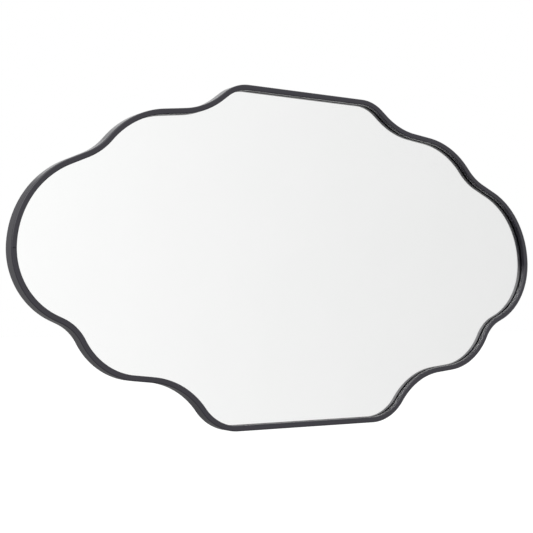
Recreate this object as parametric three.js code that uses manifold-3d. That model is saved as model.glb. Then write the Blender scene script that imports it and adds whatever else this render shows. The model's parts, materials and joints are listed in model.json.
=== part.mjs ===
// An irregular shaped wall mirror: a thin steel channel bent round a scalloped outline holds a
// mirror glass, backed by a board that carries the hangers.
//
// Millimetres, +Z up, the mirror looks towards -Y and hangs with its back to a wall at y = 0.
// The origin is on the wall plane, behind the middle of the outline. Depths are counted from
// the frame's front face towards the wall.
import * as THREE from 'three';
import { mergeVertices } from 'three/addons/utils/BufferGeometryUtils.js';
import Module from 'manifold-3d';

// Outline of the frame's outer face. The bar runs straight between these corners and is bent
// round at each of them. They are given for the right half, and the left half mirrors it.
const HALF_WIDTH = 457;
const TOP = 247.5;
const BOTTOM = -247.5;
const END_ABOVE = { x: HALF_WIDTH, z: 86, radius: 130 };
const TOP_NOTCH = { x: 336.5, z: 139.5, radius: 89 };
const TOP_SHOULDER = { x: 289.5, z: 193.5, radius: 130 };
const TOP_SWEEP = { x: 176, z: 207.5, radius: 115 };
const TOP_CORNER = { x: 124.5, z: TOP, radius: 62.5 };
const END_BELOW = { x: HALF_WIDTH, z: -64, radius: 102 };
const BOTTOM_NOTCH = { x: 370.5, z: -102.5, radius: 57 };
const BOTTOM_SHOULDER = { x: 335.5, z: -166, radius: 100 };
const BOTTOM_SWEEP = { x: 208, z: -180, radius: 108 };
const BOTTOM_CORNER = { x: 157.5, z: BOTTOM, radius: 74 };

// Frame: a steel channel with an outer wall, a front face and a short inner return
const FRAME_DEPTH = 20;
const FRAME_FACE = 8;
const SHEET = 1.5;
const RETURN_DEPTH = 7;
const EDGE_RADIUS = 1.8;

// Layers behind the return, from the front to the back
const GLASS_THICKNESS = 3;
const FILM_THICKNESS = 0.3;
const TAPE_THICKNESS = 1;
const BOARD_THICKNESS = 5;
const GLASS_EDGE_CLEARANCE = 1;
const BOARD_EDGE_CLEARANCE = 1;
const TAPE_WIDTH = 25;
const TAPE_LENGTH = 520;
const TAPE_PITCH = 76;
const TAPE_COUNT = 4;

// Steel tabs welded inside the wall and screwed to the board
const TAB_WIDTH = 14;
const TAB_LENGTH = 20;
const TAB_THICKNESS = 1.2;
const TAB_CORNER = 2;
const TAB_HOLE_FROM_WALL = 12;
const TOP_TAB_X = 80;
const BOTTOM_TAB_X = 100;

// Pan head screws, used for the tabs and for the hangers
const SCREW_RADIUS = 1.5;
const SCREW_GRIP = 3.6;
const SCREW_TIP = 1.2;
const HEAD_RADIUS = 3.2;
const HEAD_HEIGHT = 1.8;
const HEAD_DOME = 0.7;
const HEAD_TOP_RADIUS = 2.4;
const CROSS_LENGTH = 3.4;
const CROSS_WIDTH = 0.8;
const CROSS_DEPTH = 1;
const SCREW_HOLE_DEPTH = 4.2;

// D-ring hangers: a strap rolled round the straight side of a wire ring
const WIRE_RADIUS = 1.4;
const RING_WIDTH = 26;
const RING_DROP = 16;
const RING_CORNER = 4.5;
const STRAP_WIDTH = 12;
const STRAP_THICKNESS = 1.2;
const STRAP_LENGTH = 42;
const STRAP_END_RADIUS = 5.5;
const STRAP_HOLES = [24, 35];
const CURL_ANGLE = THREE.MathUtils.degToRad(280);
const HANGER_X = 225;
const HANGER_Z = 128;
const END_HANGER_INSET = 127;
const END_HANGER_Z = 72;

// Rubber bumpers that keep the frame off the wall
const BUMPER_RADIUS = 6;
const BUMPER_FACE_RADIUS = 4.5;
const BUMPER_X = 290;
const BUMPER_Z = 135;
const WALL_GAP = 4;

// Clearances
const SEAT_GAP = 0.3;
const PIN_CLEARANCE = 0.3;
const HOLE_CLEARANCE = 0.3;

// How round the arcs are drawn
const ARC_TOLERANCE = 0.18;
const RING_TOLERANCE = 0.12;
const WIRE_SIDES = 8;
const EDGE_STEPS = 3;
const HOLE_SIDES = 10;
const SCREW_SIDES = 10;
const BUMPER_SIDES = 20;
const CURL_STEPS = 16;

// Depths that follow
const WALL_PLANE = FRAME_DEPTH + WALL_GAP;
const GLASS_FRONT = RETURN_DEPTH + SEAT_GAP;
const FILM_FRONT = GLASS_FRONT + GLASS_THICKNESS + SEAT_GAP;
const TAPE_FRONT = FILM_FRONT + FILM_THICKNESS + SEAT_GAP;
const BOARD_FRONT = TAPE_FRONT + TAPE_THICKNESS + SEAT_GAP;
const BOARD_BACK = BOARD_FRONT + BOARD_THICKNESS;
const ON_BOARD = BOARD_BACK + SEAT_GAP;

const material = (color, roughness, metalness) =>
  new THREE.MeshStandardMaterial({ color, roughness, metalness });
const blackPaint = material(0x2b2a2d, 0.5, 0.3);
const silvering = material(0xeef0ef, 0.03, 1);
const filmGrey = material(0x8f9496, 0.6, 0);
const foamWhite = material(0xe9e8e2, 0.95, 0);
const fibreboard = material(0x6b4a33, 0.85, 0);
const zinc = material(0xb9bcc0, 0.35, 1);
const blackRubber = material(0x1d1d1f, 0.9, 0);

const mirror = new THREE.Group();
const wasm = await Module();
wasm.setup();

function addPiece(parent, name, geometry, finish) {
  const mesh = new THREE.Mesh(geometry, finish);
  mesh.name = name;
  parent.add(mesh);
  return mesh;
}

function toSolid(geometry) {
  const bare = geometry.clone();
  bare.deleteAttribute('normal');
  bare.deleteAttribute('uv');
  const merged = mergeVertices(bare, 1e-4);
  return new wasm.Manifold(new wasm.Mesh({
    numProp: 3,
    vertProperties: new Float32Array(merged.attributes.position.array),
    triVerts: new Uint32Array(merged.index.array),
  }));
}

function toGeometry(solid) {
  const mesh = solid.getMesh();
  const geometry = new THREE.BufferGeometry();
  geometry.setAttribute('position', new THREE.BufferAttribute(mesh.vertProperties, 3));
  geometry.setIndex(new THREE.BufferAttribute(mesh.triVerts, 1));
  geometry.computeVertexNormals();
  return geometry;
}

function cutFrom(geometry, cutters) {
  const cut = cutters.reduce((solid, cutter) => solid.subtract(toSolid(cutter)), toSolid(geometry));
  return toGeometry(cut);
}

// A cylinder along y, for cutting holes: centre of its mouth, radius and how deep it goes to -y
function holeAlongY(x, yMouth, z, radius, depth) {
  const proud = 1;
  const cylinder = new THREE.CylinderGeometry(radius, radius, depth + proud, HOLE_SIDES);
  return cylinder.translate(x, yMouth + proud - (depth + proud) / 2, z);
}

// The bends of a closed guide line, given its corners counter-clockwise in the x-z plane. A bend
// is drawn tighter where two neighbours would meet on the straight run between them.
function bendsOf(corners) {
  const count = corners.length;
  const runs = corners.map((corner, i) => {
    const next = corners[(i + 1) % count];
    return {
      length: Math.hypot(next.x - corner.x, next.z - corner.z),
      heading: Math.atan2(next.z - corner.z, next.x - corner.x),
    };
  });
  const bends = corners.map((corner, i) => {
    const before = runs[(i + count - 1) % count];
    const swing = runs[i].heading - before.heading + Math.PI;
    const turn = THREE.MathUtils.euclideanModulo(swing, 2 * Math.PI) - Math.PI;
    const tangent = corner.radius * Math.tan(Math.abs(turn) / 2);
    return { corner, turn, heading: before.heading, run: runs[i], tangent, share: 1 };
  });
  bends.forEach((bend, i) => {
    const next = bends[(i + 1) % count];
    const share = Math.min(1, bend.run.length / (bend.tangent + next.tangent));
    bend.share = Math.min(bend.share, share);
    next.share = Math.min(next.share, share);
  });
  return bends.map((bend) => {
    const side = Math.sign(bend.turn);
    const radius = bend.corner.radius * bend.share;
    const reach = bend.tangent * bend.share;
    const { heading } = bend;
    return {
      x: bend.corner.x - reach * Math.cos(heading) - side * radius * Math.sin(heading),
      z: bend.corner.z - reach * Math.sin(heading) + side * radius * Math.cos(heading),
      radius: side * radius,
      turn: bend.turn,
      reach,
      heading,
      run: bend.run,
      corner: bend.corner,
    };
  });
}

// Points of the line that lies a given inset inside a guide line
function insetLine(bends, inset, tolerance) {
  return bends.flatMap((bend) => {
    const step = 2 * Math.acos(1 - tolerance / Math.abs(bend.radius));
    const steps = Math.ceil(Math.abs(bend.turn) / step);
    return Array.from({ length: steps + 1 }, (_, k) => {
      const heading = bend.heading + (bend.turn * k) / steps;
      const radius = bend.radius - inset;
      return new THREE.Vector2(
        bend.x + radius * Math.sin(heading),
        bend.z - radius * Math.cos(heading),
      );
    });
  });
}

// A closed bar: a section, given as [inset, depth] points, carried round a guide line
function bentBar(bends, section, tolerance) {
  const lines = section.map(([inset]) => insetLine(bends, inset, tolerance));
  const positions = section.flatMap(([, depth], i) => lines[i].flatMap((p) => [p.x, depth, p.y]));
  const around = lines[0].length;
  const index = [];
  for (let i = 0; i < section.length; i += 1) {
    const here = i * around;
    const there = ((i + 1) % section.length) * around;
    for (let k = 0; k < around; k += 1) {
      const next = (k + 1) % around;
      index.push(here + k, there + next, there + k, here + k, here + next, there + next);
    }
  }
  const geometry = new THREE.BufferGeometry();
  geometry.setAttribute('position', new THREE.Float32BufferAttribute(positions, 3));
  geometry.setIndex(index);
  geometry.computeVertexNormals();
  return geometry;
}

// Rounded corner of the frame's section, from one angle to another
function sectionArc(inset, depth, radius, fromAngle, toAngle) {
  return Array.from({ length: EDGE_STEPS + 1 }, (_, k) => {
    const angle = fromAngle + ((toAngle - fromAngle) * k) / EDGE_STEPS;
    return [inset + radius * Math.cos(angle), depth - radius * Math.sin(angle)];
  });
}

// A sheet that fills the outline up to an inset, lying at a depth
function addSheet(name, inset, front, thickness, finish) {
  const shape = new THREE.Shape(insetLine(outline, inset, ARC_TOLERANCE));
  const geometry = new THREE.ExtrudeGeometry(shape, { depth: thickness, bevelEnabled: false });
  const mesh = addPiece(mirror, name, geometry, finish);
  mesh.rotation.x = Math.PI / 2;
  mesh.position.y = front + thickness - WALL_PLANE;
  return mesh;
}

const rightHalf = [
  END_BELOW, END_ABOVE, TOP_NOTCH, TOP_SHOULDER, TOP_SWEEP, TOP_CORNER,
];
const lowerRight = [BOTTOM_CORNER, BOTTOM_SWEEP, BOTTOM_SHOULDER, BOTTOM_NOTCH];
const mirrored = (corners) => corners.map((corner) => ({ ...corner, x: -corner.x })).reverse();
const outline = bendsOf([
  ...rightHalf, ...mirrored(rightHalf), ...mirrored(lowerRight), ...lowerRight,
]);

// Frame
function addFrame() {
  const returnInset = FRAME_FACE - SHEET;
  const section = [
    [0, FRAME_DEPTH],
    ...sectionArc(EDGE_RADIUS, EDGE_RADIUS, EDGE_RADIUS, Math.PI, Math.PI / 2),
    ...sectionArc(FRAME_FACE - EDGE_RADIUS, EDGE_RADIUS, EDGE_RADIUS, Math.PI / 2, 0),
    [FRAME_FACE, RETURN_DEPTH],
    [returnInset, RETURN_DEPTH],
    [returnInset, SHEET],
    [SHEET, SHEET],
    [SHEET, FRAME_DEPTH],
  ];
  const frame = addPiece(mirror, 'frame', bentBar(outline, section, ARC_TOLERANCE), blackPaint);
  frame.position.y = -WALL_PLANE;
}

// Glass, its safety film and the tape strips that bond it to the board
function addGlass() {
  const inset = SHEET + GLASS_EDGE_CLEARANCE;
  addSheet('mirror_glass', inset, GLASS_FRONT, GLASS_THICKNESS, silvering);
  addSheet('safety_film', inset, FILM_FRONT, FILM_THICKNESS, filmGrey);
  for (let i = 0; i < TAPE_COUNT; i += 1) {
    const geometry = new THREE.BoxGeometry(TAPE_LENGTH, TAPE_THICKNESS, TAPE_WIDTH);
    const strip = addPiece(mirror, `foam_tape_${i + 1}`, geometry, foamWhite);
    strip.position.set(
      0,
      TAPE_FRONT + TAPE_THICKNESS / 2 - WALL_PLANE,
      (i - (TAPE_COUNT - 1) / 2) * TAPE_PITCH,
    );
  }
}

// Where the tabs stand: on the frame's straight runs, each with the direction to the inside
function tabPlaces() {
  const straightRuns = outline.map((bend, i) => {
    const next = outline[(i + 1) % outline.length];
    const along = (bend.reach + bend.run.length - next.reach) / 2;
    return { bend, middle: along, heading: bend.run.heading };
  });
  const place = ({ bend, heading }, along) => ({
    x: bend.corner.x + along * Math.cos(heading),
    z: bend.corner.z + along * Math.sin(heading),
    heading,
  });
  const startsAt = (corner) => straightRuns.find((run) => run.bend.corner === corner);
  const right = [
    place(startsAt(END_ABOVE), startsAt(END_ABOVE).middle),
    place(startsAt(BOTTOM_SWEEP), startsAt(BOTTOM_SWEEP).middle),
    place(startsAt(TOP_CORNER), TOP_CORNER.x - TOP_TAB_X),
    { x: BOTTOM_TAB_X, z: BOTTOM, heading: 0 },
  ];
  return [...right, ...right.map(({ x, z, heading }) => ({ x: -x, z, heading: -heading }))];
}

// Pan head screw with a cross recess, its axis along y and its head's seat at y = 0
function screwGeometry() {
  const rim = HEAD_HEIGHT - HEAD_DOME;
  const profile = [
    [0, -SCREW_GRIP - SCREW_TIP], [SCREW_RADIUS, -SCREW_GRIP], [SCREW_RADIUS, 0],
    [HEAD_RADIUS, 0], [HEAD_RADIUS, rim], [HEAD_TOP_RADIUS, HEAD_HEIGHT], [0, HEAD_HEIGHT],
  ].map(([radius, y]) => new THREE.Vector2(radius, y));
  const body = new THREE.LatheGeometry(profile, SCREW_SIDES);
  const slot = (lengthX, lengthZ) => new THREE.BoxGeometry(lengthX, 2 * CROSS_DEPTH, lengthZ)
    .translate(0, HEAD_HEIGHT, 0);
  return cutFrom(body, [slot(CROSS_LENGTH, CROSS_WIDTH), slot(CROSS_WIDTH, CROSS_LENGTH)]);
}

// Tabs: a flat plate from the wall over the board, with its screw
const screwPlaces = [];
function addTabs(screw) {
  const shape = new THREE.Shape();
  const half = TAB_WIDTH / 2;
  const wallEnd = SHEET + SEAT_GAP;
  const tip = wallEnd + TAB_LENGTH;
  shape.moveTo(-half, wallEnd);
  shape.lineTo(half, wallEnd);
  shape.lineTo(half, tip - TAB_CORNER);
  shape.lineTo(half - TAB_CORNER, tip);
  shape.lineTo(TAB_CORNER - half, tip);
  shape.lineTo(-half, tip - TAB_CORNER);
  const holeFromEdge = wallEnd + TAB_HOLE_FROM_WALL;
  const hole = new THREE.Path();
  hole.absarc(0, holeFromEdge, SCREW_RADIUS + HOLE_CLEARANCE, 0, 2 * Math.PI, true);
  shape.holes.push(hole);
  const plate = new THREE.ExtrudeGeometry(shape, {
    depth: TAB_THICKNESS, bevelEnabled: false, curveSegments: HOLE_SIDES,
  });
  tabPlaces().forEach(({ x, z, heading }, i) => {
    const tab = addPiece(mirror, `retaining_tab_${i + 1}`, plate, blackPaint);
    tab.rotation.set(Math.PI / 2, -heading, 0, 'YXZ');
    tab.position.set(x, ON_BOARD + TAB_THICKNESS - WALL_PLANE, z);
    const screwX = x - holeFromEdge * Math.sin(heading);
    const screwZ = z + holeFromEdge * Math.cos(heading);
    const fastener = addPiece(mirror, `tab_screw_${i + 1}`, screw, zinc);
    fastener.position.set(screwX, ON_BOARD + TAB_THICKNESS + SEAT_GAP - WALL_PLANE, screwZ);
    screwPlaces.push({ x: screwX, z: screwZ });
  });
}

// Hangers. Each is built round its ring's pivot: x along the ring's straight side, y to the
// wall, and the strap runs to -z. The ring is stored hanging over its strap.
const curlInside = WIRE_RADIUS + PIN_CLEARANCE;
const curlOutside = curlInside + STRAP_THICKNESS;

// A strap seen from the wall: its two screw holes and its rounded end
function strapPattern() {
  const side = STRAP_WIDTH / 2;
  const arcX = side - STRAP_END_RADIUS;
  const arcZ = STRAP_END_RADIUS - STRAP_LENGTH;
  const shape = new THREE.Shape();
  shape.moveTo(side, 2 * curlOutside);
  shape.lineTo(-side, 2 * curlOutside);
  shape.absarc(-arcX, arcZ, STRAP_END_RADIUS, Math.PI, 1.5 * Math.PI);
  shape.absarc(arcX, arcZ, STRAP_END_RADIUS, 1.5 * Math.PI, 2 * Math.PI);
  STRAP_HOLES.forEach((along) => {
    const hole = new THREE.Path();
    hole.absarc(0, -along, SCREW_RADIUS + HOLE_CLEARANCE, 0, 2 * Math.PI, true);
    shape.holes.push(hole);
  });
  return shape;
}

function strapGeometry() {
  const curl = (radius, angle) => new THREE.Vector2(-radius * Math.cos(angle), radius * Math.sin(angle));
  const angles = Array.from({ length: CURL_STEPS + 1 }, (_, k) => (CURL_ANGLE * k) / CURL_STEPS);
  const points = [
    new THREE.Vector2(-curlOutside, -STRAP_LENGTH),
    ...angles.map((angle) => curl(curlOutside, angle)),
    ...angles.reverse().map((angle) => curl(curlInside, angle)),
    new THREE.Vector2(-curlInside, -STRAP_LENGTH),
  ];
  const proud = 1;
  const strip = new THREE.ExtrudeGeometry(new THREE.Shape(points), {
    depth: STRAP_WIDTH + 2 * proud, bevelEnabled: false,
  });
  strip.translate(0, 0, -STRAP_WIDTH / 2 - proud);
  strip.applyMatrix4(new THREE.Matrix4().makeBasis(
    new THREE.Vector3(0, 1, 0), new THREE.Vector3(0, 0, 1), new THREE.Vector3(1, 0, 0),
  ));
  const pattern = new THREE.ExtrudeGeometry(strapPattern(), {
    depth: 2 * (curlOutside + proud), bevelEnabled: false, curveSegments: HOLE_SIDES / 2,
  });
  pattern.translate(0, 0, -curlOutside - proud).rotateX(Math.PI / 2);
  return toGeometry(toSolid(strip).intersect(toSolid(pattern)));
}

function ringGeometry() {
  const half = RING_WIDTH / 2;
  const corners = [
    { x: half, z: -RING_DROP - WIRE_RADIUS, radius: half },
    { x: half, z: WIRE_RADIUS, radius: RING_CORNER },
    { x: -half, z: WIRE_RADIUS, radius: RING_CORNER },
    { x: -half, z: -RING_DROP - WIRE_RADIUS, radius: half },
  ];
  const section = Array.from({ length: WIRE_SIDES }, (_, k) => {
    const angle = (2 * Math.PI * (k + 0.5)) / WIRE_SIDES;
    return [WIRE_RADIUS - WIRE_RADIUS * Math.cos(angle), -WIRE_RADIUS * Math.sin(angle)];
  });
  return bentBar(bendsOf(corners), section, RING_TOLERANCE);
}

function addHangers(screw) {
  const strap = strapGeometry();
  const ring = ringGeometry();
  const endHangerX = HALF_WIDTH - END_HANGER_INSET;
  const places = [
    { name: 'top_left', x: -HANGER_X, z: HANGER_Z, turn: 0 },
    { name: 'top_right', x: HANGER_X, z: HANGER_Z, turn: 0 },
    { name: 'end_upper', x: endHangerX, z: END_HANGER_Z, turn: Math.PI / 2 },
    { name: 'end_lower', x: endHangerX, z: -END_HANGER_Z, turn: Math.PI / 2 },
  ];
  places.forEach(({ name, x, z, turn }) => {
    const hanger = new THREE.Group();
    hanger.position.set(x, ON_BOARD + curlOutside - WALL_PLANE, z);
    hanger.rotation.y = turn;
    mirror.add(hanger);
    addPiece(hanger, `hanger_strap_${name}`, strap, zinc);
    addPiece(hanger, `hanger_ring_${name}`, ring, zinc);
    STRAP_HOLES.forEach((along, i) => {
      const fastener = addPiece(hanger, `hanger_screw_${name}_${i + 1}`, screw, zinc);
      fastener.position.set(0, SEAT_GAP - curlInside, -along);
      screwPlaces.push({ x: x - along * Math.sin(turn), z: z - along * Math.cos(turn) });
    });
  });
}

// Backing board, with a blind hole for each screw
function addBoard() {
  const board = addSheet('backing_board', SHEET + BOARD_EDGE_CLEARANCE, BOARD_FRONT, BOARD_THICKNESS,
    fibreboard);
  board.updateMatrix();
  const blank = board.geometry.clone().applyMatrix4(board.matrix);
  const holes = screwPlaces.map(({ x, z }) =>
    holeAlongY(x, BOARD_BACK - WALL_PLANE, z, SCREW_RADIUS + HOLE_CLEARANCE, SCREW_HOLE_DEPTH));
  board.geometry = cutFrom(blank, holes);
  board.rotation.x = 0;
  board.position.y = 0;
}

// Bumpers stand on the board and touch the wall
function addBumpers() {
  const height = WALL_PLANE - ON_BOARD;
  const taper = BUMPER_RADIUS - BUMPER_FACE_RADIUS;
  const profile = [
    [0, -height], [BUMPER_RADIUS, -height], [BUMPER_RADIUS, -taper], [BUMPER_FACE_RADIUS, 0], [0, 0],
  ].map(([radius, y]) => new THREE.Vector2(radius, y));
  const geometry = new THREE.LatheGeometry(profile, BUMPER_SIDES);
  [['top_right', 1, 1], ['top_left', -1, 1], ['bottom_left', -1, -1], ['bottom_right', 1, -1]]
    .forEach(([name, sideX, sideZ]) => {
      const bumper = addPiece(mirror, `bumper_${name}`, geometry, blackRubber);
      bumper.position.set(sideX * BUMPER_X, 0, sideZ * BUMPER_Z);
    });
}

addFrame();
addGlass();
const screw = screwGeometry();
addTabs(screw);
addHangers(screw);
addBoard();
addBumpers();

export default mirror;
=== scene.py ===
import json
import math

import bmesh
import bpy
from mathutils import Matrix, Vector


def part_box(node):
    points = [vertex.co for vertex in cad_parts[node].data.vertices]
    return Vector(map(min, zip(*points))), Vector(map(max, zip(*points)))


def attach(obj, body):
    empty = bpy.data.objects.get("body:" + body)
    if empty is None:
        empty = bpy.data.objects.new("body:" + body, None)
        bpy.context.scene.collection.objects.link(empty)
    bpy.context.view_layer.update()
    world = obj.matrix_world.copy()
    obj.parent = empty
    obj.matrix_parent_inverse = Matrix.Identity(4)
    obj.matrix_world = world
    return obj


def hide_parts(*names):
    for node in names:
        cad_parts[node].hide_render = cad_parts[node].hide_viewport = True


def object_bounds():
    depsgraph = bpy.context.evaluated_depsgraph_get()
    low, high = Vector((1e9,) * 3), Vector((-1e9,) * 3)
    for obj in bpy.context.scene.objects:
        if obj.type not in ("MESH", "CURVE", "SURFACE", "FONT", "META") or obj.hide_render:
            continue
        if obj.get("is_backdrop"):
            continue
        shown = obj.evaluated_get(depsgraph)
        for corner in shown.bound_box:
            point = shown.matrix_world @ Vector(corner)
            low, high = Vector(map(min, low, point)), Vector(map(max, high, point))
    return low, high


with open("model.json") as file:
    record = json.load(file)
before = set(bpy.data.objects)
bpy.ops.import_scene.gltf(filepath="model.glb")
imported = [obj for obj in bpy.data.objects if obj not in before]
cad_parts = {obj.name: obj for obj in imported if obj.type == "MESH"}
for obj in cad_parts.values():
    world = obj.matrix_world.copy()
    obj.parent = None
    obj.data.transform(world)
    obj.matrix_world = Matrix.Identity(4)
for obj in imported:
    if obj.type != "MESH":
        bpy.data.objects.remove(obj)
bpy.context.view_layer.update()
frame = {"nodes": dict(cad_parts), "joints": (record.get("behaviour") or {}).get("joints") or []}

# ---- Frame ------------------------------------------------------------------------------------
# A channel roll-formed from 1.5 mm steel sheet, bent on its edge round the scalloped outline and
# butt welded at the bottom. Its short return holds the glass from the front. The weld is ground
# flush and the whole frame is powder coated satin black.
MM = 0.001
frame_low, frame_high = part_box("frame")
front = frame_low.y
bottom, top = frame_low.z, frame_high.z
half_width = frame_high.x
frame_depth = frame_high.y - front

# Corners of the guide line along the outer wall, from the bottom run up the right side to the
# top run: x, z and the radius that the bar is bent to there. The left half mirrors them.
right_half = [
    (157.5 * MM, bottom, 74 * MM),
    (208 * MM, -180 * MM, 108 * MM),
    (335.5 * MM, -166 * MM, 100 * MM),
    (370.5 * MM, -102.5 * MM, 57 * MM),
    (half_width, -64 * MM, 102 * MM),
    (half_width, 86 * MM, 130 * MM),
    (336.5 * MM, 139.5 * MM, 89 * MM),
    (289.5 * MM, 193.5 * MM, 130 * MM),
    (176 * MM, 207.5 * MM, 115 * MM),
    (124.5 * MM, top, 62.5 * MM),
]
outline = right_half + [(-x, z, radius) for x, z, radius in reversed(right_half)]

SHEET = 1.5 * MM
FACE = 8 * MM
RETURN_DEPTH = 7 * MM
FOLD = 1.8 * MM
CUT_EDGE = 0.3 * MM
BEND_STEP = math.radians(2)
CRISP = math.radians(35)
SAME_PLACE = 0.002 * MM


def runs_of(corners):
    """The straight runs before each bend of a closed guide line whose (x, z, radius) corners go
    counter-clockwise: where each starts and ends, and the centre and turn of the bend after it."""
    places = [Vector((x, 0, z)) for x, z, _ in corners]
    bends = []
    for i, (_, _, radius) in enumerate(corners):
        coming = (places[i] - places[i - 1]).normalized()
        going = (places[(i + 1) % len(places)] - places[i]).normalized()
        turn = math.atan2(coming.x * going.z - coming.z * going.x, coming.dot(going))
        reach = radius * math.tan(abs(turn) / 2)
        left = Vector((-coming.z, 0, coming.x))
        start = places[i] - coming * reach
        centre = start + left * math.copysign(radius, turn)
        bends.append((start, places[i] + going * reach, centre, turn))
    return [
        (bends[i - 1][1], start, centre, turn) for i, (start, _, centre, turn) in enumerate(bends)
    ]


def face_outwards(bm):
    """Turns the faces of a closed bmesh outwards."""
    bmesh.ops.recalc_face_normals(bm, faces=bm.faces[:])
    if bm.calc_volume(signed=True) < 0:
        bmesh.ops.reverse_faces(bm, faces=bm.faces[:])


def carry_round(bm, corners):
    """Carries a wire section, which stands at the middle of the first run, once round the line."""
    runs = runs_of(corners)
    section = bm.verts[:] + bm.edges[:]
    start = (runs[0][0] + runs[0][1]) / 2
    here = start
    for i, (_, run_end, centre, turn) in enumerate(runs):
        if (run_end - here).length > 0.01 * MM:
            section = bmesh.ops.spin(
                bm, geom=section, cent=here, axis=(0, -1, 0), dvec=run_end - here, angle=0, steps=1
            )["geom_last"]
        section = bmesh.ops.spin(
            bm, geom=section, cent=centre, axis=(0, -1, 0), angle=turn,
            steps=math.ceil(abs(turn) / BEND_STEP),
        )["geom_last"]
        here = runs[(i + 1) % len(runs)][0]
    bmesh.ops.spin(
        bm, geom=section, cent=here, axis=(0, -1, 0), dvec=start - here, angle=0, steps=1
    )
    bmesh.ops.remove_doubles(bm, verts=bm.verts[:], dist=SAME_PLACE)


def new_piece(name, bm, *finishes):
    """An object of a finished bmesh, shaded smooth except where its edges turn sharply."""
    mesh = bpy.data.meshes.new(name)
    bm.to_mesh(mesh)
    bm.free()
    mesh.shade_smooth()
    mesh.set_sharp_from_angle(angle=CRISP)
    for finish in finishes:
        mesh.materials.append(finish)
    piece = bpy.data.objects.new(name, mesh)
    bpy.context.scene.collection.objects.link(piece)
    even = piece.modifiers.new("even_faces", "WEIGHTED_NORMAL")
    even.keep_sharp = True
    return piece


def linear(hex_colour):
    """An sRGB hex colour as linear red, green, blue and alpha."""
    channels = [int(hex_colour[i : i + 2], 16) / 255 for i in (1, 3, 5)]
    return [c / 12.92 if c <= 0.04045 else ((c + 0.055) / 1.055) ** 2.4 for c in channels] + [1]


def add(tree, kind, inputs=(), **settings):
    """Adds a node. An input is linked if it is given an output socket, and set if a value."""
    node = tree.nodes.new(kind)
    for name, value in settings.items():
        setattr(node, name, value)
    for name, value in dict(inputs).items():
        if isinstance(value, bpy.types.NodeSocket):
            tree.links.new(value, node.inputs[name])
        else:
            node.inputs[name].default_value = value
    return node


def new_finish(name):
    """An empty material, with the place on the object that its patterns are drawn by."""
    finish = bpy.data.materials.new(name)
    finish.use_nodes = True
    tree = finish.node_tree
    tree.nodes.clear()
    return finish, tree, add(tree, "ShaderNodeTexCoord").outputs["Object"]


# Satin black polyester powder coat, sprayed and baked. It gives the eye a charcoal black with a
# soft sheen: a fine orange peel breaks the highlights, and the film's thickness clouds its gloss.
# The peel's waves are 1 mm apart on the real one and drawn at 2 mm, so that they show.
powder_coat, tree, place = new_finish("black_powder_coat")
cloud = add(tree, "ShaderNodeTexNoise", {"Vector": place, "Scale": 1 / (60 * MM), "Detail": 3})
peel = add(tree, "ShaderNodeTexNoise", {"Vector": place, "Scale": 1 / (2 * MM), "Detail": 1})
tone = add(tree, "ShaderNodeMixRGB", {
    "Fac": cloud.outputs["Fac"], "Color1": linear("#17141f"), "Color2": linear("#1e1b27"),
})
gloss = add(tree, "ShaderNodeMapRange", {
    "Value": cloud.outputs["Fac"], "From Min": 0.3, "From Max": 0.7, "To Min": 0.28, "To Max": 0.34,
})
relief = add(tree, "ShaderNodeBump", {
    "Height": peel.outputs["Fac"], "Strength": 0.3, "Distance": 0.04 * MM,
})
shader = add(tree, "ShaderNodeBsdfPrincipled", {
    "Base Color": tone.outputs["Color"], "Roughness": gloss.outputs["Result"],
    "Normal": relief.outputs["Normal"], "IOR": 1.55,
})
add(tree, "ShaderNodeOutputMaterial", {"Surface": shader.outputs["BSDF"]})

# The channel's section, at the middle of the bottom run: inset from the outer wall, depth behind
# the face, and the radius of the fold or of the coated cut edge
bm = bmesh.new()
section = [
    (0, frame_depth, CUT_EDGE),
    (0, 0, FOLD),
    (FACE, 0, FOLD),
    (FACE, RETURN_DEPTH, CUT_EDGE),
    (FACE - SHEET, RETURN_DEPTH, CUT_EDGE),
    (FACE - SHEET, SHEET, FOLD - SHEET),
    (SHEET, SHEET, FOLD - SHEET),
    (SHEET, frame_depth, CUT_EDGE),
]
corners = [bm.verts.new((0, front + depth, bottom + inset)) for inset, depth, _ in section]
bm.faces.new(corners)
for corner, (_, _, radius) in zip(corners, section):
    bmesh.ops.bevel(
        bm, geom=[corner], offset=radius, offset_type="OFFSET", profile=0.5, affect="VERTICES",
        segments=7 if radius == FOLD else 2, material=-1,
    )
bmesh.ops.delete(bm, geom=bm.faces[:], context="FACES_ONLY")
carry_round(bm, outline)
face_outwards(bm)
bar = new_piece("frame_bar", bm, powder_coat)
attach(bar, "mirror")
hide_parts("frame")

# ---- Mirror pane ------------------------------------------------------------------------------
# 3 mm clear float glass cut to the outline, its edges seamed with a belt, and silvered on the
# back under copper and lacquer. It lies behind the frame's return.
glass_low, glass_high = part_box("mirror_glass")
glass_inset = half_width - glass_high.x
SEAM = 0.5 * MM

# Clear float glass. It gives the eye a faintly green, quite clear pane with a sharp second
# reflection, and the tint is a touch deeper in places, as the melt is never quite even.
clear_glass, tree, place = new_finish("clear_float_glass")
melt = add(tree, "ShaderNodeTexNoise", {"Vector": place, "Scale": 1 / (150 * MM), "Detail": 1})
tint = add(tree, "ShaderNodeMixRGB", {
    "Fac": melt.outputs["Fac"], "Color1": linear("#ffffff"), "Color2": linear("#fefffe"),
})
shader = add(tree, "ShaderNodeBsdfPrincipled", {
    "Base Color": tint.outputs["Color"], "Roughness": 0, "IOR": 1.52, "Transmission Weight": 1,
})
add(tree, "ShaderNodeOutputMaterial", {"Surface": shader.outputs["BSDF"]})

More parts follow.
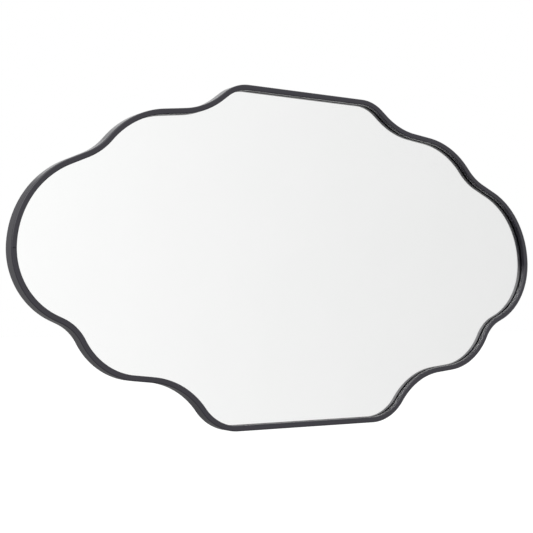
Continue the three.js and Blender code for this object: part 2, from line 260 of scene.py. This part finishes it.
# Chemically deposited silver seen through the glass. It gives the eye an even, near-white mirror
# with no grain, and a faint cloudiness that only shows against a plain white room.
silvering, tree, place = new_finish("silvering")
deposit = add(tree, "ShaderNodeTexNoise", {"Vector": place, "Scale": 1 / (90 * MM), "Detail": 2})
sheen = add(tree, "ShaderNodeMixRGB", {
    "Fac": deposit.outputs["Fac"], "Color1": linear("#ffffff"), "Color2": linear("#fdfdfd"),
})
shader = add(tree, "ShaderNodeBsdfPrincipled", {
    "Base Color": sheen.outputs["Color"], "Metallic": 1, "Roughness": 0,
})
add(tree, "ShaderNodeOutputMaterial", {"Surface": shader.outputs["BSDF"]})

bm = bmesh.new()
edge_line = [
    bm.verts.new((0, y, bottom + glass_inset + inset))
    for y, inset in (
        (glass_low.y, SEAM), (glass_low.y + SEAM, 0),
        (glass_high.y - SEAM, 0), (glass_high.y, SEAM),
    )
]
for a, b in zip(edge_line, edge_line[1:]):
    bm.edges.new((a, b))
carry_round(bm, outline)
for level in (glass_low.y, glass_high.y):
    rim = [
        edge for edge in bm.edges
        if edge.is_boundary and abs(edge.verts[0].co.y - level) < SEAM / 2
    ]
    bmesh.ops.triangle_fill(bm, edges=rim, normal=(0, -1, 0), use_beauty=True)
face_outwards(bm)
for face in bm.faces:
    if face.normal.y > 0.9:
        face.material_index = 1
pane = new_piece("mirror_pane", bm, clear_glass, silvering)
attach(pane, "mirror")
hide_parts("mirror_glass")

# ---- Safety film ------------------------------------------------------------------------------
# Matt grey vinyl film, rolled onto the glass's lacquered back so that splinters stay together if
# the glass breaks. It keeps the shape it has in the frame model.
# Calendered vinyl gives the eye a flat grey with a fine emboss, drawn at 1.5 mm.
vinyl, tree, place = new_finish("grey_vinyl_film")
emboss = add(tree, "ShaderNodeTexVoronoi", {"Vector": place, "Scale": 1 / (1.5 * MM)})
tone = add(tree, "ShaderNodeMixRGB", {
    "Fac": emboss.outputs["Distance"], "Color1": linear("#8f9496"), "Color2": linear("#868b8d"),
})
relief = add(tree, "ShaderNodeBump", {
    "Height": emboss.outputs["Distance"], "Strength": 0.3, "Distance": 0.03 * MM,
})
shader = add(tree, "ShaderNodeBsdfPrincipled", {
    "Base Color": tone.outputs["Color"], "Normal": relief.outputs["Normal"], "Roughness": 0.6,
})
add(tree, "ShaderNodeOutputMaterial", {"Surface": shader.outputs["BSDF"]})


def dress(name, finish):
    """Gives a piece that keeps its own shape its finish."""
    finishes = frame["nodes"][name].data.materials
    finishes.clear()
    finishes.append(finish)


dress("safety_film", vinyl)

# ---- Foam tape --------------------------------------------------------------------------------
# Four strips of double-sided polyethylene foam tape that bond the filmed glass to the board.
# Closed-cell foam gives the eye a chalky white with pores 0.8 mm apart.
foam, tree, place = new_finish("white_foam_tape")
pores = add(tree, "ShaderNodeTexVoronoi", {"Vector": place, "Scale": 1 / (0.8 * MM)})
tone = add(tree, "ShaderNodeMixRGB", {
    "Fac": pores.outputs["Distance"], "Color1": linear("#d8d6cd"), "Color2": linear("#eeece5"),
})
relief = add(tree, "ShaderNodeBump", {
    "Height": pores.outputs["Distance"], "Strength": 0.5, "Distance": 0.1 * MM,
})
shader = add(tree, "ShaderNodeBsdfPrincipled", {
    "Base Color": tone.outputs["Color"], "Normal": relief.outputs["Normal"], "Roughness": 0.9,
})
add(tree, "ShaderNodeOutputMaterial", {"Surface": shader.outputs["BSDF"]})
for name in frame["nodes"]:
    if name.startswith("foam_tape"):
        dress(name, foam)

# ---- Backing board ----------------------------------------------------------------------------
# 5 mm medium density fibreboard, cut to the outline and drilled for the screws. It closes the
# back and carries the hangers, and keeps the shape it has in the frame model.
# Raw sanded fibreboard gives the eye a felt of short light and dark fibres, 0.5 mm wide on the
# real one and drawn at 1.2 mm, over soft brown clouds a hand wide.
fibreboard, tree, place = new_finish("raw_fibreboard")
lay = add(tree, "ShaderNodeMapping", {"Vector": place, "Scale": (1, 1, 2.2)})
fibres = add(tree, "ShaderNodeTexNoise", {
    "Vector": lay.outputs["Vector"], "Scale": 1 / (2.6 * MM), "Detail": 4, "Roughness": 0.7,
})
clouds = add(tree, "ShaderNodeTexNoise", {"Vector": place, "Scale": 1 / (80 * MM), "Detail": 4})
felt = add(tree, "ShaderNodeMapRange", {
    "Value": fibres.outputs["Fac"], "From Min": 0.32, "From Max": 0.68,
})
grain = add(tree, "ShaderNodeMixRGB", {
    "Fac": felt.outputs["Result"], "Color1": linear("#7d5f45"), "Color2": linear("#9a7b5c"),
})
tone = add(tree, "ShaderNodeMixRGB", {
    "Fac": clouds.outputs["Fac"], "Color1": linear("#e2d6c8"), "Color2": linear("#ffffff"),
})
colour = add(tree, "ShaderNodeMixRGB", {
    "Fac": 1, "Color1": grain.outputs["Color"], "Color2": tone.outputs["Color"],
}, blend_type="MULTIPLY")
relief = add(tree, "ShaderNodeBump", {
    "Height": fibres.outputs["Fac"], "Strength": 0.4, "Distance": 0.08 * MM,
})
shader = add(tree, "ShaderNodeBsdfPrincipled", {
    "Base Color": colour.outputs["Color"], "Normal": relief.outputs["Normal"], "Roughness": 0.8,
})
add(tree, "ShaderNodeOutputMaterial", {"Surface": shader.outputs["BSDF"]})
dress("backing_board", fibreboard)

# ---- Retaining tabs ---------------------------------------------------------------------------
# Small plates of 1.2 mm steel, tacked with a weld bead to the inside of the frame's wall before
# it is coated, so they are black as the frame is. They lie over the board, each with one screw.
TAB_WIDTH = 14 * MM
TAB_LENGTH = 20 * MM
TAB_CORNER = 2 * MM
TAB_BURR = 0.2 * MM
TAB_HOLE_FROM_WALL = 12 * MM
HOLE_RADIUS = 1.8 * MM
BEAD_LENGTH = 9 * MM
BEAD_RADIUS = 1.3 * MM
# Each bead is two overlapping blobs
BLOB_PLACE = BEAD_LENGTH / 4
BLOB_HALF_SIZE = (BEAD_LENGTH / 3.4, BEAD_RADIUS * 0.8, BEAD_RADIUS)
TAB_COUNT = 8


def cut(bm, cutter):
    """A new bmesh of one bmesh less another, both used up."""
    stock, tool = bpy.data.meshes.new("stock"), bpy.data.meshes.new("tool")
    bm.to_mesh(stock)
    cutter.to_mesh(tool)
    bm.free()
    cutter.free()
    blank, knife = bpy.data.objects.new("blank", stock), bpy.data.objects.new("knife", tool)
    for part in (blank, knife):
        bpy.context.scene.collection.objects.link(part)
    difference = blank.modifiers.new("cut", "BOOLEAN")
    difference.operation = "DIFFERENCE"
    difference.object = knife
    result = bmesh.new()
    result.from_object(blank, bpy.context.evaluated_depsgraph_get())
    for part, mesh in ((blank, stock), (knife, tool)):
        bpy.data.objects.remove(part)
        bpy.data.meshes.remove(mesh)
    return result


def drill(bm, across, along, radius, reach):
    """Drills a hole along y, at x = across and z = along."""
    bit = bmesh.new()
    upright = Matrix.Translation((across, 0, along)) @ Matrix.Rotation(math.pi / 2, 4, "X")
    bmesh.ops.create_cone(
        bit, cap_ends=True, segments=24, radius1=radius, radius2=radius, depth=reach, matrix=upright
    )
    return cut(bm, bit)


def inward_at(place):
    """The direction to the inside, square to the outline's straight run that is nearest."""
    found = []
    for start, end, _, _ in runs_of(outline):
        heading = (end - start).normalized()
        share = min(max((place - start).dot(heading), 0), (end - start).length)
        found.append(((place - start - heading * share).length, Vector((-heading.z, 0, heading.x))))
    return min(found, key=lambda pair: pair[0])[1]


# One tab, its hole at the origin, its back face at y = 0, reaching to the inside along +z
tab = bmesh.new()
tab_low, tab_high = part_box("retaining_tab_1")
tab_thickness = tab_high.y - tab_low.y
middle = TAB_LENGTH / 2 - TAB_HOLE_FROM_WALL
bmesh.ops.create_cube(tab, size=1, matrix=Matrix.Translation((0, -tab_thickness / 2, middle))
                      @ Matrix.Diagonal((TAB_WIDTH, tab_thickness, TAB_LENGTH, 1)))
tip_edges = [
    edge for edge in tab.edges
    if all(v.co.z > middle for v in edge.verts) and edge.verts[0].co.x == edge.verts[1].co.x
]
bmesh.ops.bevel(tab, geom=tip_edges, offset=TAB_CORNER, offset_type="OFFSET", segments=6,
                profile=0.5, affect="EDGES", material=-1)
rim = [edge for edge in tab.edges if abs(edge.calc_face_angle(0)) > CRISP]
bmesh.ops.bevel(tab, geom=rim, offset=TAB_BURR, offset_type="OFFSET", segments=2, profile=0.5,
                affect="EDGES", material=-1)
tab = drill(tab, 0, 0, HOLE_RADIUS, 4 * tab_thickness)
wall_end = middle - TAB_LENGTH / 2
for across in (-BLOB_PLACE, BLOB_PLACE):
    bmesh.ops.create_uvsphere(
        tab, u_segments=20, v_segments=12, radius=1,
        matrix=Matrix.Translation((across, 0, wall_end)) @ Matrix.Diagonal((*BLOB_HALF_SIZE, 1)),
    )
for i in range(1, TAB_COUNT + 1):
    screw_low, screw_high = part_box(f"tab_screw_{i}")
    hole = (screw_low + screw_high) / 2
    inward = inward_at(Vector((hole.x, 0, hole.z)))
    turned = Matrix.Rotation(math.atan2(inward.x, inward.z), 4, "Y")
    bm = tab.copy()
    bmesh.ops.transform(
        bm, verts=bm.verts[:], matrix=Matrix.Translation((hole.x, tab_high.y, hole.z)) @ turned
    )
    plate = new_piece(f"welded_tab_{i}", bm, powder_coat)
    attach(plate, "mirror")
    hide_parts(f"retaining_tab_{i}")
tab.free()

# ---- Screws -----------------------------------------------------------------------------------
# 3 mm pan head screws of zinc-plated steel with a cross recess, driven into the board. Eight
# hold the tabs and two hold each hanger strap.
SCREW_RADIUS = 1.5 * MM
TIP = 1.2 * MM
HEAD_RADIUS = 3.2 * MM
HEAD_HEIGHT = 1.8 * MM
HEAD_RIM = 0.9 * MM
RIM_ROUND = 0.25 * MM
CROSS_LENGTH = 3.6 * MM
CROSS_WIDTH = 0.8 * MM
CROSS_DEPTH = 1.2 * MM
CROSS_TAPER = (0.45, 1, 0.7)
DRIVEN_TURN = math.radians(47)
TURNED_SIDES = 40
# Points of the head's dome: share of its radius, and fall below its top
DOME = [(0, 0), (0.45, 0.06 * MM), (0.78, 0.32 * MM)]

# Bright zinc plate, chromate dipped. It gives the eye a clean light grey metal with a faint blue
# cast, finely grained: the grain is under 0.1 mm on the real one and drawn at 0.7 mm.
zinc, tree, place = new_finish("bright_zinc_plate")
grain = add(tree, "ShaderNodeTexVoronoi", {"Vector": place, "Scale": 1 / (0.7 * MM)})
stain = add(tree, "ShaderNodeTexNoise", {"Vector": place, "Scale": 1 / (9 * MM), "Detail": 3})
tone = add(tree, "ShaderNodeMixRGB", {
    "Fac": stain.outputs["Fac"], "Color1": linear("#c3c8d0"), "Color2": linear("#d3d2cc"),
})
gloss = add(tree, "ShaderNodeMapRange", {
    "Value": grain.outputs["Distance"], "To Min": 0.24, "To Max": 0.36,
})
relief = add(tree, "ShaderNodeBump", {
    "Height": grain.outputs["Distance"], "Strength": 0.15, "Distance": 0.02 * MM,
})
shader = add(tree, "ShaderNodeBsdfPrincipled", {
    "Base Color": tone.outputs["Color"], "Metallic": 1, "Roughness": gloss.outputs["Result"],
    "Normal": relief.outputs["Normal"],
})
add(tree, "ShaderNodeOutputMaterial", {"Surface": shader.outputs["BSDF"]})

# One screw, its axis along y and its head's top at y = 0
screw_low, screw_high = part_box("tab_screw_1")
screw_length = screw_high.y - screw_low.y
screw = bmesh.new()
profile = [(HEAD_RADIUS * share, -fall) for share, fall in DOME] + [
    (HEAD_RADIUS, -HEAD_HEIGHT + HEAD_RIM), (HEAD_RADIUS, -HEAD_HEIGHT),
    (SCREW_RADIUS, -HEAD_HEIGHT), (SCREW_RADIUS, TIP - screw_length), (0, -screw_length),
]
line = [screw.verts.new((radius, y, 0)) for radius, y in profile]
for a, b in zip(line, line[1:]):
    screw.edges.new((a, b))
bmesh.ops.bevel(screw, geom=line[3:5], offset=RIM_ROUND, offset_type="OFFSET", segments=3,
                profile=0.5, affect="VERTICES", material=-1)
bmesh.ops.spin(screw, geom=screw.verts[:] + screw.edges[:], cent=(0, 0, 0), axis=(0, 1, 0),
               angle=math.tau, steps=TURNED_SIDES, use_merge=True)
bmesh.ops.remove_doubles(screw, verts=screw.verts[:], dist=SAME_PLACE)
face_outwards(screw)
for turn in (0, math.pi / 2):
    blade = bmesh.new()
    bmesh.ops.create_cube(blade, size=1, matrix=Matrix.Diagonal(
        (CROSS_LENGTH, 2 * CROSS_DEPTH, CROSS_WIDTH, 1)))
    foot = [v for v in blade.verts if v.co.y < 0]
    bmesh.ops.scale(blade, verts=foot, vec=CROSS_TAPER)
    bmesh.ops.rotate(blade, verts=blade.verts[:], matrix=Matrix.Rotation(turn, 3, "Y"))
    screw = cut(screw, blade)

screw_nodes = [name for name in frame["nodes"] if "screw" in name]
for i, name in enumerate(sorted(screw_nodes)):
    low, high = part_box(name)
    bm = screw.copy()
    driven = Matrix.Translation(((low.x + high.x) / 2, high.y, (low.z + high.z) / 2))
    bmesh.ops.transform(
        bm, verts=bm.verts[:], matrix=driven @ Matrix.Rotation(DRIVEN_TURN * i, 4, "Y")
    )
    fastener = new_piece(name.replace("screw", "pan_head"), bm, zinc)
    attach(fastener, "mirror")
    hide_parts(name)
screw.free()

# ---- Hangers ----------------------------------------------------------------------------------
# D-ring hangers: a 1.2 mm steel strap with a round end, rolled round the straight side of a ring
# bent from 2.8 mm wire, both zinc plated. Two hang the mirror along its long side and two on
# its end, and each ring swings in its strap.
STRAP_WIDTH = 12 * MM
STRAP_THICKNESS = 1.2 * MM
STRAP_LENGTH = 42 * MM
STRAP_HOLES = (24 * MM, 35 * MM)
STRAP_BURR = 0.2 * MM
WIRE_RADIUS = 1.4 * MM
PIN_CLEARANCE = 0.3 * MM
RING_HALF = 13 * MM
RING_DROP = 16 * MM
RING_CORNER = 4.5 * MM
CURL = math.radians(280)
CURL_STEPS = 28
WIRE_SIDES = 20
FOLD_EDGE = math.radians(60)

# One strap round its pivot at the origin: x along the pivot, y to the wall, its tail down -z
curl_radius = WIRE_RADIUS + PIN_CLEARANCE + STRAP_THICKNESS
end_radius = STRAP_WIDTH / 2 - STRAP_BURR
strap = bmesh.new()
tail_end = [
    strap.verts.new((side * STRAP_WIDTH / 2, -curl_radius, -STRAP_LENGTH)) for side in (-1, 1)
]
tail = [*tail_end, strap.edges.new(tail_end)]
tail = bmesh.ops.spin(strap, geom=tail, cent=(0, 0, 0), axis=(-1, 0, 0), angle=0, steps=1,
                      dvec=(0, 0, STRAP_LENGTH))["geom_last"]
bmesh.ops.spin(strap, geom=tail, cent=(0, 0, 0), axis=(-1, 0, 0), angle=CURL, steps=CURL_STEPS)
bmesh.ops.bevel(strap, geom=tail_end, offset=end_radius, offset_type="OFFSET", segments=12,
                profile=0.5, affect="VERTICES", material=-1)
bmesh.ops.recalc_face_normals(strap, faces=strap.faces[:])
bmesh.ops.solidify(strap, geom=strap.faces[:], thickness=STRAP_THICKNESS)
face_outwards(strap)
rim = [edge for edge in strap.edges if abs(edge.calc_face_angle(0)) > FOLD_EDGE]
bmesh.ops.bevel(strap, geom=rim, offset=STRAP_BURR, offset_type="OFFSET", segments=2, profile=0.5,
                affect="EDGES", material=-1)
for along in STRAP_HOLES:
    strap = drill(strap, 0, -along, HOLE_RADIUS, 4 * curl_radius)

# One ring round the same pivot, stored hanging over its strap
wire_half = RING_HALF - WIRE_RADIUS
ring = bmesh.new()
bmesh.ops.create_circle(ring, segments=WIRE_SIDES, radius=WIRE_RADIUS,
                        matrix=Matrix.Rotation(math.pi / 2, 4, "Y"))
carry_round(ring, [
    (-wire_half, 0, RING_CORNER - WIRE_RADIUS), (-wire_half, -RING_DROP, wire_half),
    (wire_half, -RING_DROP, wire_half), (wire_half, 0, RING_CORNER - WIRE_RADIUS),
])
face_outwards(ring)

for joint in frame["joints"]:
    pivot, axis = Vector(joint["pos_m"]), Vector(joint["axis"])
    turned = Vector((1, 0, 0)).rotation_difference(axis).to_matrix().to_4x4()
    hung = Matrix.Translation(pivot) @ turned
    where = joint["child"].replace("ring_", "")
    for shape, kind, body in ((strap, "strap", "mirror"), (ring, "ring", joint["child"])):
        bm = shape.copy()
        bmesh.ops.transform(bm, verts=bm.verts[:], matrix=hung)
        part = new_piece(f"d_ring_{kind}_{where}", bm, zinc)
        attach(part, body)
        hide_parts(f"hanger_{kind}_{where}")
strap.free()
ring.free()

# ---- Bumpers ----------------------------------------------------------------------------------
# Four moulded rubber bumpers stuck to the board. They touch the wall and keep the frame off it.
# Moulded rubber gives the eye a dull near-black with a fine spark-eroded skin, drawn at 0.8 mm.
FOOT_FILLET = 0.8 * MM
FACE_RADIUS = 4.5 * MM
SHOULDER_DROP = 1.5 * MM
rubber, tree, place = new_finish("black_moulded_rubber")
skin = add(tree, "ShaderNodeTexNoise", {"Vector": place, "Scale": 1 / (0.8 * MM), "Detail": 2})
bloom = add(tree, "ShaderNodeTexNoise", {"Vector": place, "Scale": 1 / (7 * MM), "Detail": 2})
tone = add(tree, "ShaderNodeMixRGB", {
    "Fac": bloom.outputs["Fac"], "Color1": linear("#19191b"), "Color2": linear("#28272a"),
})
relief = add(tree, "ShaderNodeBump", {
    "Height": skin.outputs["Fac"], "Strength": 0.4, "Distance": 0.05 * MM,
})
shader = add(tree, "ShaderNodeBsdfPrincipled", {
    "Base Color": tone.outputs["Color"], "Normal": relief.outputs["Normal"], "Roughness": 0.75,
})
add(tree, "ShaderNodeOutputMaterial", {"Surface": shader.outputs["BSDF"]})
for name in [name for name in frame["nodes"] if name.startswith("bumper")]:
    low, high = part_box(name)
    base_radius = (high.x - low.x) / 2
    bm = bmesh.new()
    profile = [(0, low.y), (base_radius, low.y), (base_radius, high.y - SHOULDER_DROP),
               (FACE_RADIUS, high.y), (0, high.y)]
    line = [bm.verts.new((radius, y, 0)) for radius, y in profile]
    for a, b in zip(line, line[1:]):
        bm.edges.new((a, b))
    bmesh.ops.bevel(bm, geom=line[1:4], offset=FOOT_FILLET, offset_type="OFFSET", segments=4,
                    profile=0.5, affect="VERTICES", material=-1)
    bmesh.ops.spin(bm, geom=bm.verts[:] + bm.edges[:], cent=(0, 0, 0), axis=(0, 1, 0),
                   angle=math.tau, steps=TURNED_SIDES, use_merge=True)
    bmesh.ops.remove_doubles(bm, verts=bm.verts[:], dist=SAME_PLACE)
    face_outwards(bm)
    bmesh.ops.translate(bm, verts=bm.verts[:], vec=((low.x + high.x) / 2, 0, (low.z + high.z) / 2))
    foot = new_piece(f"rubber_{name}", bm, rubber)
    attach(foot, "mirror")
    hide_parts(name)

# ---- Floor ------------------------------------------------------------------------------------
# A plain white studio floor, as far below the mirror as one hangs above a real floor. The camera
# sees it as white as the backdrop, less the object's shadow, and gloss sees only the backdrop.
FLOOR_LEVEL = -1.45
FLOOR_HALF = 60
CAMERA_LIFT = 0.2
floor_paint, tree, place = new_finish("white_floor_paint")
scuff = add(tree, "ShaderNodeTexNoise", {"Vector": place, "Scale": 2, "Detail": 2})
tone = add(tree, "ShaderNodeMixRGB", {
    "Fac": scuff.outputs["Fac"], "Color1": linear("#eeeeee"), "Color2": linear("#f2f2f2"),
})
path = add(tree, "ShaderNodeLightPath")
lift = add(tree, "ShaderNodeMath", {
    0: path.outputs["Is Camera Ray"], 1: CAMERA_LIFT,
}, operation="MULTIPLY")
shader = add(tree, "ShaderNodeBsdfPrincipled", {
    "Base Color": tone.outputs["Color"], "Roughness": 0.9, "Specular IOR Level": 0,
    "Emission Color": linear("#ffffff"), "Emission Strength": lift.outputs["Value"],
})
add(tree, "ShaderNodeOutputMaterial", {"Surface": shader.outputs["BSDF"]})
bm = bmesh.new()
bmesh.ops.create_grid(bm, x_segments=1, y_segments=1, size=FLOOR_HALF,
                      matrix=Matrix.Translation((0, 0, FLOOR_LEVEL)))
floor = new_piece("floor", bm, floor_paint)
floor.visible_glossy = False
floor.visible_transmission = False
floor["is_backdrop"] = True

# ---- Light ------------------------------------------------------------------------------------
# A white room with two soft lamps: a key high on the left of the front and a weaker one high
# behind. Gloss and the mirror see the room as the camera does, but greyer to the right, the back
# and below, and dim around the camera, over a wider patch in the mirror than in the gloss.
AMBIENT = 0.65
DIMMEST = 0.2
AROUND_CAMERA = Vector((-0.755, -0.624, -0.201))
LAMP_ANGLE = math.radians(60)
world = bpy.data.worlds.new("white_room")
bpy.context.scene.world = world
world.use_nodes = True
tree = world.node_tree
tree.nodes.clear()
heading = add(tree, "ShaderNodeTexCoord").outputs["Generated"]
split = add(tree, "ShaderNodeSeparateXYZ", {"Vector": heading})
rightward = add(tree, "ShaderNodeMapRange", {
    "Value": split.outputs["X"], "From Min": 0.33, "From Max": 0.72, "To Min": 1, "To Max": 0.82,
})
leftward = add(tree, "ShaderNodeMapRange", {
    "Value": split.outputs["X"], "From Min": -0.2, "From Max": 0.33, "To Min": 1.5, "To Max": 1,
})
backward = add(tree, "ShaderNodeMapRange", {
    "Value": split.outputs["Y"], "From Min": 0, "From Max": 0.9, "To Min": 1, "To Max": 0.36,
})
downward = add(tree, "ShaderNodeMapRange", {
    "Value": split.outputs["Z"], "From Min": -0.7, "From Max": -0.25, "To Min": 0.4, "To Max": 1,
})
nearness = add(tree, "ShaderNodeVectorMath", {
    0: heading, 1: AROUND_CAMERA,
}, operation="DOT_PRODUCT")
grey = rightward.outputs["Result"]
for share in (leftward, backward, downward):
    grey = add(tree, "ShaderNodeMath", {
        0: grey, 1: share.outputs["Result"],
    }, operation="MULTIPLY").outputs["Value"]
path = add(tree, "ShaderNodeLightPath")
room = add(tree, "ShaderNodeBackground", {"Color": linear("#ffffff"), "Strength": AMBIENT})
for ray, core, rim in (("Is Glossy Ray", 12, 35), ("Is Transmission Ray", 30, 66)):
    shade = add(tree, "ShaderNodeMapRange", {
        "Value": nearness.outputs["Value"], "From Min": math.cos(math.radians(rim)),
        "From Max": math.cos(math.radians(core)), "To Min": 1, "To Max": DIMMEST,
    }, interpolation_type="SMOOTHSTEP")
    dim = add(tree, "ShaderNodeMath", {0: grey, 1: shade.outputs["Result"]}, operation="MULTIPLY")
    seen = add(tree, "ShaderNodeBackground", {
        "Color": linear("#ffffff"), "Strength": dim.outputs["Value"],
    })
    room = add(tree, "ShaderNodeMixShader", {
        0: path.outputs[ray], 1: room.outputs[0], 2: seen.outputs["Background"],
    })
backdrop = add(tree, "ShaderNodeBackground", {"Color": linear("#ffffff"), "Strength": 1})
room = add(tree, "ShaderNodeMixShader", {
    0: path.outputs["Is Camera Ray"], 1: room.outputs[0], 2: backdrop.outputs["Background"],
})
add(tree, "ShaderNodeOutputWorld", {"Surface": room.outputs["Shader"]})

for name, towards, strength in (
    ("key_lamp", (-0.5, -0.6, 0.62), 1.2),
    ("back_lamp", (0.4, 0.62, 0.68), 0.7),
):
    lamp = bpy.data.lights.new(name, "SUN")
    lamp.energy = strength
    lamp.angle = LAMP_ANGLE
    placed = bpy.data.objects.new(name, lamp)
    placed.rotation_euler = Vector(towards).to_track_quat("Z", "Y").to_euler()
    bpy.context.scene.collection.objects.link(placed)

# ---- Camera -----------------------------------------------------------------------------------
# It stands to the left of the front, a little below the mirror's middle, and looks level but for
# a slight upward tilt.
camera = bpy.data.cameras.new("camera")
camera.lens = 75.83
camera.sensor_width = 36
camera.sensor_fit = "HORIZONTAL"
viewer = bpy.data.objects.new("camera", camera)
viewer.location = (-0.958, -1.378, -0.082)
viewer.rotation_euler = [math.radians(angle) for angle in (92.427, 0.048, -33.133)]
bpy.context.scene.collection.objects.link(viewer)
bpy.context.scene.camera = viewer
bpy.context.scene.view_settings.view_transform = "Standard"

low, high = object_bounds()
